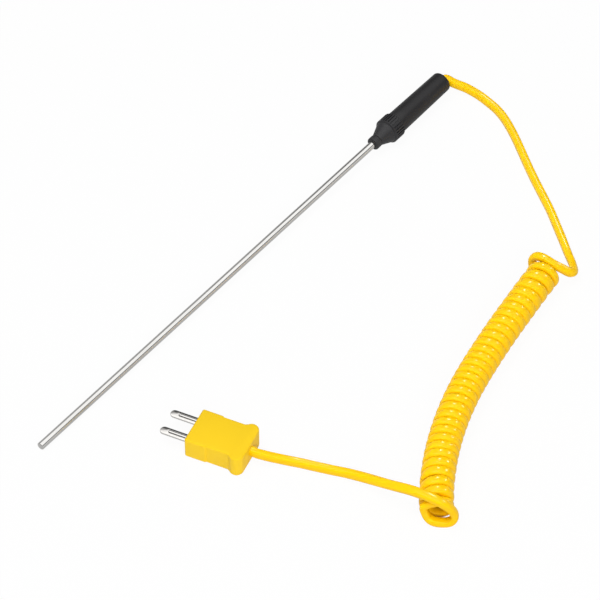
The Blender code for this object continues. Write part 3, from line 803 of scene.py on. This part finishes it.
class PROBE_OT_cord(Operator):
    """Lay the curly cord from the grip through its coil to the plug"""

    bl_idname = "probe.cord"
    bl_label = "Curly cord"

    CARRIED = (
        "plug_moulding", "positive_blade", "negative_blade", "plug_body", "positive_pin",
        "negative_pin", "plug_cord_end", "plug_clamp_ring", "plug_positive_wire",
        "plug_negative_wire",
    )

    # Points of the free runs between which the oval's wide side turns from upright to the coil's
    # way, and back
    UPPER_UPRIGHT_END = -13
    UPPER_TURNED = -9
    LOWER_TURNED = 15
    LOWER_UPRIGHT_START = 9
    UPRIGHT_STEP = 4

    # The lower run's last two points are left out, as the coil's last turn takes their place
    LOWER_RUN_END = -3

    def execute(self, context):
        sizes = context.scene.cord_sizes
        coil, directions, widths = coil_points(sizes)
        route = UPPER_ROUTE + coil + LOWER_ROUTE[self.LOWER_RUN_END::-1]
        route[0] = tuple(np.array(route[0]) - (HELD_INSIDE, 0, 0))
        along_plug = unit(np.array(route[-2]) - np.array(route[-1]))
        route[-1] = tuple(np.array(route[-1]) - along_plug * HELD_INSIDE)
        line = smooth_line(route, sizes.ring_step)
        wishes, spans = self.sections(line, coil, directions, widths, sizes)
        sides, forward = wide_sides(line, wishes)
        places = sorted(spans)
        known = np.array([spans[index] for index in places])
        wide, narrow = [np.interp(range(len(line)), places, sizes_there) for sizes_there in known.T]
        ring = self.ring(sizes)
        verts = []
        for i, (middle, side, direction) in enumerate(zip(line, sides, forward)):
            other = np.cross(direction, side)
            corners = np.array([side * a * wide[i] + other * b * narrow[i] for a, b in ring])
            middle[2] = max(middle[2], -corners[:, 2].min())
            verts += (corners + middle).tolist()
        count = sizes.sides
        faces = []
        for start in range(0, (len(line) - 1) * count, count):
            for k in range(count):
                after = (k + 1) % count
                faces.append((start + k, start + after, start + after + count, start + k + count))
        faces.append(tuple(range(count - 1, -1, -1)))
        faces.append(tuple(range((len(line) - 1) * count, len(line) * count)))
        mesh = bpy.data.meshes.new("curly_cord")
        mesh.from_pydata(verts, [], faces)
        cord = bpy.data.objects.new("curly_cord", mesh)
        context.scene.collection.objects.link(cord)
        start_edit(cord)
        bpy.ops.mesh.select_all(action="SELECT")
        bpy.ops.mesh.normals_make_consistent(inside=False)
        end_edit()
        finish_piece(
            cord, Matrix.Identity(4), jacket_finish(context.scene.finish_colours.jacket),
            "yellow_jacket", "upper_cord", "cord_coil", "lower_cord",
        )
        return {"FINISHED"}

    def ring(self, sizes):
        """Corners of a rounded oval, one wide and one high."""
        power = 2 / sizes.squareness
        corners = []
        for i in range(sizes.sides):
            angle = 2 * math.pi * i / sizes.sides
            turn = (math.cos(angle), math.sin(angle))
            corners.append([math.copysign(abs(part) ** power / 2, part) for part in turn])
        return corners

    def sections(self, line, coil, directions, widths, sizes):
        """Which way the oval's wide side points, and both its sizes, at points along the cord."""
        upright = (0, 0, 1)
        plain = (sizes.width, sizes.thickness)
        wishes = {}
        spans = {}
        upright_end = nearest(line, UPPER_ROUTE[self.UPPER_UPRIGHT_END])
        for index in range(0, upright_end, self.UPRIGHT_STEP):
            wishes[index] = upright
            spans[index] = plain
        middles = np.array(coil)
        first = nearest(line, UPPER_ROUTE[self.UPPER_TURNED])
        last = nearest(line, LOWER_ROUTE[self.LOWER_TURNED])
        coil_first = nearest(line, coil[0])
        coil_last = nearest(line, coil[-1])
        for index in range(first, last + 1):
            close = nearest(middles, line[index])
            wishes[index] = directions[close]
            if coil_first <= index <= coil_last:
                spans[index] = (widths[close], sizes.turn_thickness)
        upright_start = nearest(line, LOWER_ROUTE[self.LOWER_UPRIGHT_START])
        for index in range(upright_start, len(line), self.UPRIGHT_STEP):
            wishes[index] = upright
            spans[index] = plain
        return wishes, spans


class PROBE_OT_rod(Operator):
    """Turn the steel rod with its closed tip"""

    bl_idname = "probe.rod"
    bl_label = "Rod"

    WALL = 0.25 * MM
    TIP_WALL = 0.6 * MM
    HELD = 16.5 * MM
    STATIONS = 8
    STEPS_ROUND = 64
    STREAKS = (12, 2600, 2600)

    def execute(self, context):
        sizes = context.scene.probe_sizes
        radius = sizes.rod / 2
        bore = radius - self.WALL
        rounding = sizes.tip_rounding
        length = sizes.rod_shown + self.HELD
        profile = [(0, 0)]
        profile += arc((radius - rounding, rounding), rounding, -90, 0, 6)
        for i in range(1, self.STATIONS + 1):
            profile.append((radius, rounding + (length - rounding) * i / self.STATIONS))
        profile += [(bore, length), (bore, self.TIP_WALL), (0, self.TIP_WALL)]
        rod = turned("rod", profile, self.STEPS_ROUND)
        end_edit()
        steel = drawn_metal_finish(
            "polished_steel", context.scene.finish_colours.steel, self.STREAKS, 0.1, 0.17,
        )
        finish_piece(rod, probe_place(), steel, "stainless_sheath", "sheath_tube")
        return {"FINISHED"}


class PROBE_OT_nose(Operator):
    """Turn the grip's nose cap and cut the ribs round its collar"""

    bl_idname = "probe.nose"
    bl_label = "Nose cap"

    RING_LENGTH = 2.7 * MM
    RING_RADIUS = 2.45 * MM
    RING_ROUNDING = 0.5 * MM
    NECK_RADIUS = 2.25 * MM
    CONE_LENGTH = 5.2 * MM
    CONE_BASE_RADIUS = 4.3 * MM
    COLLAR_LENGTH = 5.2 * MM
    CHAMFER = 0.4 * MM
    GROOVE_LENGTH = 4.5 * MM
    BORE_RADIUS = 1.4 * MM
    SOCKET_RADIUS = 3.45 * MM
    SOCKET_DEPTH = 5.3 * MM
    STEPS_A_RIB = 6

    def execute(self, context):
        sizes = context.scene.probe_sizes
        front = sizes.rod_shown
        ring_rear = front + self.RING_LENGTH
        collar_front = ring_rear + self.CONE_LENGTH
        rear = collar_front + self.COLLAR_LENGTH
        collar = sizes.collar / 2
        floor = collar - sizes.rib_depth
        groove_front = rear - self.GROOVE_LENGTH
        groove_rear = rear - self.CHAMFER + sizes.rib_depth
        rounding = self.RING_ROUNDING
        profile = [(collar - self.CHAMFER, rear), (floor, groove_rear)]
        profile += [(collar, rear - self.CHAMFER)]
        profile += [(collar, groove_front), (collar, collar_front + self.CHAMFER)]
        profile += [(collar - self.CHAMFER, collar_front), (self.CONE_BASE_RADIUS, collar_front)]
        profile += [(self.NECK_RADIUS, ring_rear)]
        profile += arc((self.RING_RADIUS - rounding, ring_rear - rounding), rounding, 80, 0, 5)
        profile += arc((self.RING_RADIUS - rounding, front + rounding), rounding, 0, -90, 5)
        profile += [(self.BORE_RADIUS, front), (self.BORE_RADIUS, rear - self.SOCKET_DEPTH)]
        profile += [(self.SOCKET_RADIUS, rear - self.SOCKET_DEPTH), (self.SOCKET_RADIUS, rear)]
        profile.append(profile[0])
        steps = sizes.ribs * self.STEPS_A_RIB
        cap = turned("nose_cap_ribbed", profile, steps)
        pitch = 2 * math.pi / sizes.ribs

        def in_groove(middle, normal):
            reach = math.hypot(middle.x, middle.y)
            share = (math.atan2(middle.y, middle.x) / pitch) % 1.0
            outside = normal.x * middle.x + normal.y * middle.y > 0
            along = groove_front < middle.z < groove_rear
            return along and reach > floor and share < 0.5 and outside

        choose_faces(cap, in_groove)
        bpy.ops.mesh.extrude_region_move(TRANSFORM_OT_translate={"value": (0, 0, 0)})

        def on_wall(place):
            return math.hypot(place.x, place.y) > collar - WELD

        choose_corners(cap, on_wall, among_selected=True)
        share = floor / collar
        bpy.ops.transform.resize(value=(share, share, 1), center_override=(0, 0, 0))
        bpy.ops.mesh.select_all(action="SELECT")
        bpy.ops.mesh.remove_doubles(threshold=WELD)
        bpy.ops.mesh.normals_make_consistent(inside=False)
        end_edit()
        # The cap gets the grip's plastic in a paler black, as painted sheen for the grazing
        # highlights on its cone
        nose = grip_finish("nose_plastic_painted_sheen", context.scene.finish_colours.nose)
        finish_piece(cap, probe_place(), nose, "black_plastic", "nose_cap")
        return {"FINISHED"}


class PROBE_OT_grip(Operator):
    """Turn the grip's tube with its spigot and its rounded rear end"""

    bl_idname = "probe.grip"
    bl_label = "Grip tube"

    NOSE_LENGTH = 13.1 * MM
    SEAM = 0.08 * MM
    FRONT_ROUNDING = 0.15 * MM
    SPIGOT_RADIUS = 3.15 * MM
    SPIGOT_LENGTH = 3.9 * MM
    SPIGOT_BORE = 2.35 * MM
    SPIGOT_BORE_LENGTH = 4.6 * MM
    BORE_RADIUS = 2.8 * MM
    REAR_WALL = 2.5 * MM
    REAR_EXTRA = 0.1 * MM
    CORD_HOLE = 1.8 * MM
    LIP = 0.25 * MM
    STATIONS = 6
    STEPS_ROUND = 96

    def execute(self, context):
        sizes = context.scene.probe_sizes
        front = sizes.rod_shown + self.NOSE_LENGTH + self.SEAM
        rear = sizes.rod_shown + self.NOSE_LENGTH + sizes.body_length + self.REAR_EXTRA
        outer = sizes.body / 2
        outer_front = sizes.body_front / 2
        rounding = sizes.rear_rounding
        spigot_front = front - self.SPIGOT_LENGTH
        bore_front = spigot_front + self.SPIGOT_BORE_LENGTH
        profile = arc((self.CORD_HOLE + self.LIP, rear - self.LIP), self.LIP, 180, 90, 4)
        profile += arc((outer - rounding, rear - rounding), rounding, 90, 0, 8)
        for i in range(1, self.STATIONS):
            share = i / self.STATIONS
            reach = outer * (1 - share) + outer_front * share
            profile.append((reach, (rear - rounding) * (1 - share) + front * share))
        middle = (outer_front - self.FRONT_ROUNDING, front + self.FRONT_ROUNDING)
        profile += arc(middle, self.FRONT_ROUNDING, 0, -90, 3)
        profile += [(self.SPIGOT_RADIUS, front), (self.SPIGOT_RADIUS, spigot_front)]
        profile += [(self.SPIGOT_BORE, spigot_front), (self.SPIGOT_BORE, bore_front)]
        profile += [(self.BORE_RADIUS, bore_front), (self.BORE_RADIUS, rear - self.REAR_WALL)]
        profile += [(self.CORD_HOLE, rear - self.REAR_WALL)]
        profile.append(profile[0])
        grip = turned("grip_tube", profile, self.STEPS_ROUND)
        end_edit()
        plastic = grip_finish("grip_plastic", context.scene.finish_colours.grip)
        finish_piece(grip, probe_place(), plastic, "black_plastic", "handle_body")
        return {"FINISHED"}


class PROBE_OT_plug(Operator):
    """Model the plug's moulded body with its waist and grip flange"""

    bl_idname = "probe.plug"
    bl_label = "Plug body"

    CORNER = 0.7 * MM
    STEP_PLACE = 7.5 * MM
    STEP = 0.35 * MM
    FLANGE_ROUNDING = 2.5 * MM
    FLANGE_BLEND = 0.4 * MM
    RIB_SLOT_EXTRA = 0.3 * MM

    def outline(self, sizes):
        """Points round the body, seen from above, from its front face back to its front face."""
        half = sizes.width / 2
        waist = half - self.STEP
        flange = sizes.flange_width / 2
        bulge = (sizes.length - self.FLANGE_ROUNDING, flange - self.FLANGE_ROUNDING)
        side = arc((self.CORNER, half - self.CORNER), self.CORNER, 180, 90, 6)
        side += [(self.STEP_PLACE, half), (self.STEP_PLACE + self.STEP, waist)]
        side.append((bulge[0] - self.FLANGE_ROUNDING - self.FLANGE_BLEND, waist))
        side += arc(bulge, self.FLANGE_ROUNDING, 140, 0, 16)
        return side + [(x, -y) for x, y in reversed(side)]

    def execute(self, context):
        sizes = context.scene.plug_sizes
        body = flat_plate("plug_moulding", self.outline(sizes), sizes.height)
        end_edit()
        soften(body, sizes.edge, 4)
        for side in (-1, 1):
            middle = side * PIN_PITCH / 2
            reach = sizes.pin_width / 2 + SLOT_GAP
            level = sizes.pin_level
            rise = sizes.pin_thickness / 2 + SLOT_GAP
            low = (-MM, middle - reach, level - rise)
            high = (PIN_HELD + MM, middle + reach, level + rise)
            combine(body, box_tool(low, high), "DIFFERENCE")
            reach = RIB_RADIUS + SLOT_GAP
            low = (-MM, middle - reach, level)
            far = RIB_HELD + self.RIB_SLOT_EXTRA
            high = (far, middle + reach, level + rise + RIB_RADIUS)
            combine(body, box_tool(low, high), "DIFFERENCE")
        moulding = moulding_finish(context.scene.finish_colours.moulding)
        finish_piece(body, plug_place(), moulding, "yellow_moulding", "plug_body")
        return {"FINISHED"}


class PROBE_OT_pins(Operator):
    """Model the two flat pins, each with a round tip and a raised rib"""

    bl_idname = "probe.pins"
    bl_label = "Pins"

    EDGE = 0.12 * MM
    STREAKS = (900, 900, 900)
    BLADES = (("positive_blade", "positive_pin", 1), ("negative_blade", "negative_pin", -1))

    def execute(self, context):
        sizes = context.scene.plug_sizes
        nickel = drawn_metal_finish(
            "bright_nickel_plate", context.scene.finish_colours.nickel, self.STREAKS, 0.05, 0.1,
        )
        half = sizes.pin_width / 2
        outline = [(PIN_HELD, -half), (PIN_HELD, half)]
        outline += arc((half - sizes.pin_shown, 0), half, 90, 270, 20)
        for name, node, side in self.BLADES:
            blade = flat_plate(name, outline, sizes.pin_thickness)
            end_edit()
            soften(blade, self.EDGE, 3)
            profile = [(0, RIB_HELD), (RIB_RADIUS, RIB_HELD)]
            start = RIB_START - sizes.pin_shown
            profile += arc((0, start + RIB_RADIUS), RIB_RADIUS, 0, -90, 8)
            rib = turned(name + "_rib", profile, 32)
            end_edit()
            rise = sizes.pin_thickness - RIB_SINK
            lying = Matrix.Rotation(math.pi / 2, 4, "Y")
            rib.data.transform(Matrix.Translation((0, 0, rise)) @ lying)
            combine(blade, rib, "UNION")
            level = sizes.pin_level - sizes.pin_thickness / 2
            shift = Matrix.Translation((0, side * PIN_PITCH / 2, level))
            finish_piece(blade, plug_place() @ shift, nickel, "bright_nickel", node)
        return {"FINISHED"}


class PROBE_OT_fittings(Operator):
    """Give each part inside the grip and the plug its finish"""

    bl_idname = "probe.fittings"
    bl_label = "Inner parts"

    METAL_ROUGHNESS = {"brushed_steel": 0.3, "brass": 0.28, "chrome": 0.12}
    OTHER_ROUGHNESS = 0.45

    def execute(self, context):
        record = frame["record"]
        looks = {look["slot"]: look for look in record["materials"]}
        made = {}
        for part in record["subparts"]:
            node = frame["nodes"][part["node"]]
            slot = part["material_slot"]
            if slot not in made:
                look = looks[slot]
                metal = float(look["class"] in self.METAL_ROUGHNESS)
                rough = self.METAL_ROUGHNESS.get(look["class"], self.OTHER_ROUGHNESS)
                name = slot + "_inside"
                made[slot] = small_part_finish(name, look["base_color"], rough, metal)
            node.data.materials.clear()
            node.data.materials.append(made[slot])
        return {"FINISHED"}


class PROBE_OT_stage(Operator):
    """Lay the white table and set the lamps and the room's light"""

    bl_idname = "probe.stage"
    bl_label = "Stage"

    LAMP_DISTANCE = 1.3
    TOP_LAMP = {"direction": (-0.19, 0.13, 0.96), "size": 0.8}
    SIDE_LAMP = {"direction": (-0.5, -0.7, 0.5), "size": 0.6}
    HIGH_SPOT = {"direction": (0.57, 0.3, 0.75), "size": 0.14}
    LOW_SPOT = {"direction": (0.8, -0.33, 0.46), "size": 0.14}

    def execute(self, context):
        sizes = context.scene.stage_sizes
        deselect()
        bpy.ops.mesh.primitive_plane_add(size=sizes.floor, location=(0, 0, 0))
        floor = bpy.context.object
        floor.name = "table_top"
        floor.data.materials.append(floor_finish())
        self.lamp("top_lamp", sizes.top_lamp, **self.TOP_LAMP)
        self.lamp("side_lamp", sizes.side_lamp, **self.SIDE_LAMP)
        self.spot("high_spot", sizes.spot_lamps, **self.HIGH_SPOT)
        self.spot("low_spot", sizes.spot_lamps, **self.LOW_SPOT)
        world = bpy.data.worlds.new("room")
        context.scene.world = world
        finish = Finish(world, "ShaderNodeOutputWorld")
        camera = finish.node("ShaderNodeLightPath", out="Is Camera Ray")
        glossy = finish.node("ShaderNodeLightPath", out="Is Glossy Ray")
        strength = finish.mix(glossy, (sizes.room,) * 3, self.mirrored_room(finish))
        strength = finish.mix(camera, strength, (1, 1, 1))
        finish.end(finish.node("ShaderNodeBackground", {}, {"Color": strength, "Strength": 1.0}))
        context.scene.view_settings.view_transform = "Standard"
        return {"FINISHED"}

    def mirrored_room(self, finish):
        """What shiny parts mirror: white overhead, grey low down, dark ends and a line in front."""
        way = finish.node("ShaderNodeTexCoord", out="Generated")
        x = finish.node("ShaderNodeSeparateXYZ", {}, {"Vector": way}, out="X")
        y = finish.node("ShaderNodeSeparateXYZ", {}, {"Vector": way}, out="Y")
        z = finish.node("ShaderNodeSeparateXYZ", {}, {"Vector": way}, out="Z")
        front = finish.step(y, 0.05, -0.2)
        right = finish.step(x, 0.5, 0.56)
        low = (0.4 - right * 0.32) * (1.0 - front) + front * 0.8
        high = finish.step(z, 0.68, 0.78) * (1.0 - front) + finish.step(z, 0.56, 0.74) * front
        sky = low + (1.25 - low) * high
        line = front * finish.step(z, 0.28, 0.4) * finish.step(z, 0.68, 0.56)
        ends = finish.step(x * x, 0.5, 0.72) * finish.step(z, 0.66, 0.5)
        return (sky - line * 0.68) * (1.0 - ends * 0.85)

    def lamp(self, name, power, direction, size):
        """A soft round lamp that lights the matt side of things and isn't mirrored in them."""
        data = bpy.data.lights.new(name, "AREA")
        data.shape = "DISK"
        data.size = size
        data.energy = power
        lamp = bpy.data.objects.new(name, data)
        bpy.context.scene.collection.objects.link(lamp)
        way = Vector(direction).normalized()
        lamp.visible_glossy = False
        lamp.location = way * self.LAMP_DISTANCE
        lamp.rotation_euler = way.to_track_quat("Z", "Y").to_euler()
        return lamp

    def spot(self, name, power, direction, size):
        """A small lamp that is only mirrored, and only in the cord, where it makes dots of light."""
        lamp = self.lamp(name, power, direction, size)
        lamp.visible_glossy = True
        lamp.visible_diffuse = False
        cord_alone = bpy.data.collections.new(name + "_lights")
        cord_alone.objects.link(bpy.data.objects["curly_cord"])
        lamp.light_linking.receiver_collection = cord_alone


STEPS = (
    PROBE_OT_camera, PROBE_OT_rod, PROBE_OT_nose, PROBE_OT_grip, PROBE_OT_plug, PROBE_OT_pins,
    PROBE_OT_cord, PROBE_OT_fittings, PROBE_OT_stage,
)
GROUPS = {
    "cord_sizes": CordSizes, "probe_sizes": ProbeSizes, "plug_sizes": PlugSizes,
    "finish_colours": FinishColours, "stage_sizes": StageSizes,
}


class PROBE_PT_panel(Panel):
    """Steps that build and finish the probe"""

    bl_idname = "PROBE_PT_panel"
    bl_label = "Thermocouple probe"
    bl_space_type = "VIEW_3D"
    bl_region_type = "UI"
    bl_category = "Probe"

    def draw(self, context):
        for step in STEPS:
            self.layout.operator(step.bl_idname)


def register():
    for made in (*GROUPS.values(), *STEPS, PROBE_PT_panel):
        bpy.utils.register_class(made)
    for name, group in GROUPS.items():
        setattr(bpy.types.Scene, name, PointerProperty(type=group))


def unregister():
    for name in GROUPS:
        delattr(bpy.types.Scene, name)
    for made in (PROBE_PT_panel, *reversed(STEPS), *GROUPS.values()):
        bpy.utils.unregister_class(made)


def main():
    register()
    bpy.ops.probe.camera()
    bpy.ops.probe.rod()
    bpy.ops.probe.nose()
    bpy.ops.probe.grip()
    bpy.ops.probe.plug()
    bpy.ops.probe.pins()
    bpy.ops.probe.cord()
    bpy.ops.probe.fittings()
    bpy.ops.probe.stage()


if __name__ == "__main__":
    main()
